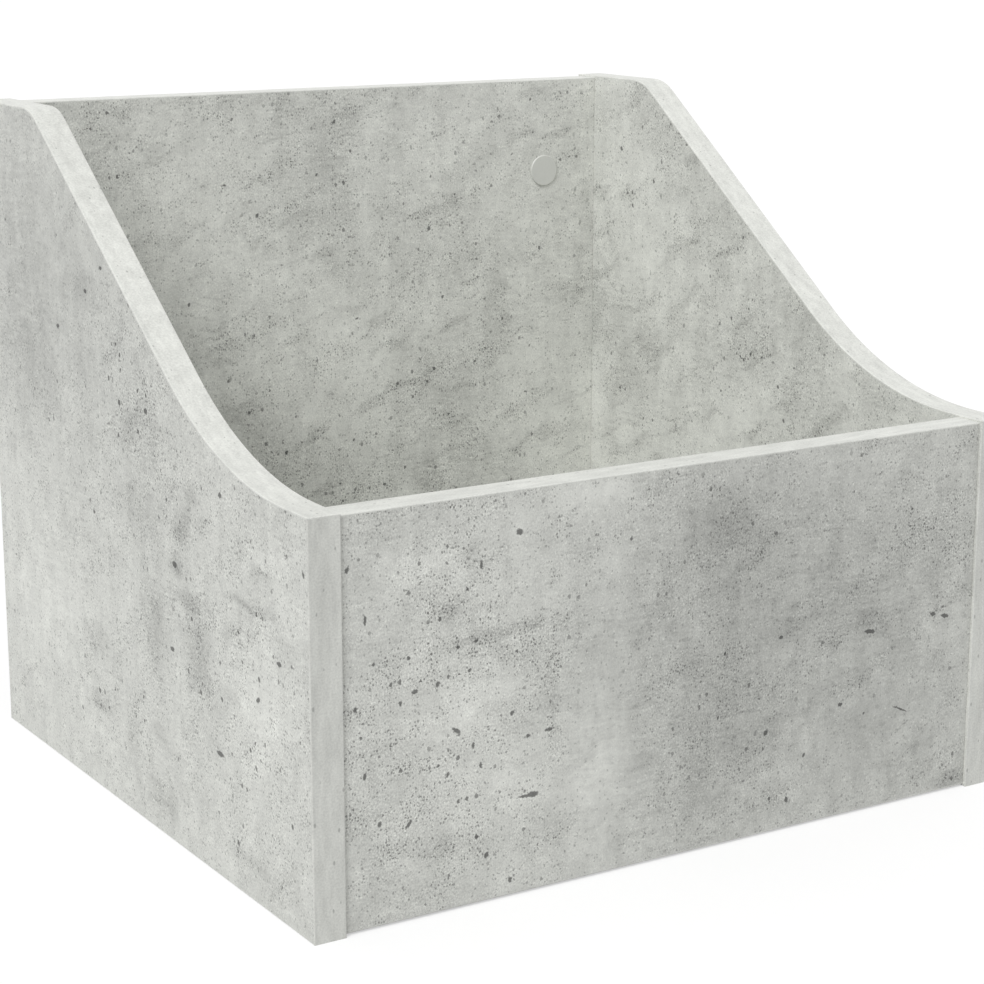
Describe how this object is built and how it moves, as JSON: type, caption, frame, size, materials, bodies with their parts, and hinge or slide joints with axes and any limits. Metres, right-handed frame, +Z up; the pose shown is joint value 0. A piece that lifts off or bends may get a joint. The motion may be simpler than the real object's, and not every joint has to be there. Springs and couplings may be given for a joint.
{
  "type": "open record storage case",
  "caption": "Open-top record storage case of concrete-look boards, with S-curved sides, a low front and a high back, joined by dowels and cam fittings.",
  "frame": {"origin": "on the floor, below the centre of the case's outer box", "axes": "+X across the case to its right as seen from the front, +Y from the low front to the high back, +Z up"},
  "size_m": [0.368, 0.34, 0.32],
  "materials": {
    "concrete_laminate": "matt concrete-look melamine face on chipboard",
    "edge_band": "matt plastic edge band, pale concrete print",
    "beech": "raw turned beech",
    "plated_steel": "bright zinc plating",
    "cast_zinc": "bare die-cast zinc",
    "cap_plastic": "matt moulded plastic"
  },
  "bodies": {
    "root": {"back_cam_bolts": "plated_steel", "back_cam_drums": "cast_zinc", "back_cover_caps": "cap_plastic", "back_dowels": "beech", "back_panel": "concrete_laminate", "back_panel_bottom_band": "edge_band", "back_panel_top_band": "edge_band", "base_cam_bolts": "plated_steel", "base_cam_drums": "cast_zinc", "base_dowels": "beech", "base_panel": "concrete_laminate", "front_cam_bolts": "plated_steel", "front_cam_drums": "cast_zinc", "front_cover_caps": "cap_plastic", "front_dowels": "beech", "front_panel": "concrete_laminate", "front_panel_bottom_band": "edge_band", "front_panel_top_band": "edge_band", "left_side_bottom_band": "edge_band", "left_side_front_band": "edge_band", "left_side_panel": "concrete_laminate", "left_side_rear_band": "edge_band", "left_side_top_band": "edge_band", "right_side_bottom_band": "edge_band", "right_side_front_band": "edge_band", "right_side_panel": "concrete_laminate", "right_side_rear_band": "edge_band", "right_side_top_band": "edge_band"}
  },
  "joints": []
}
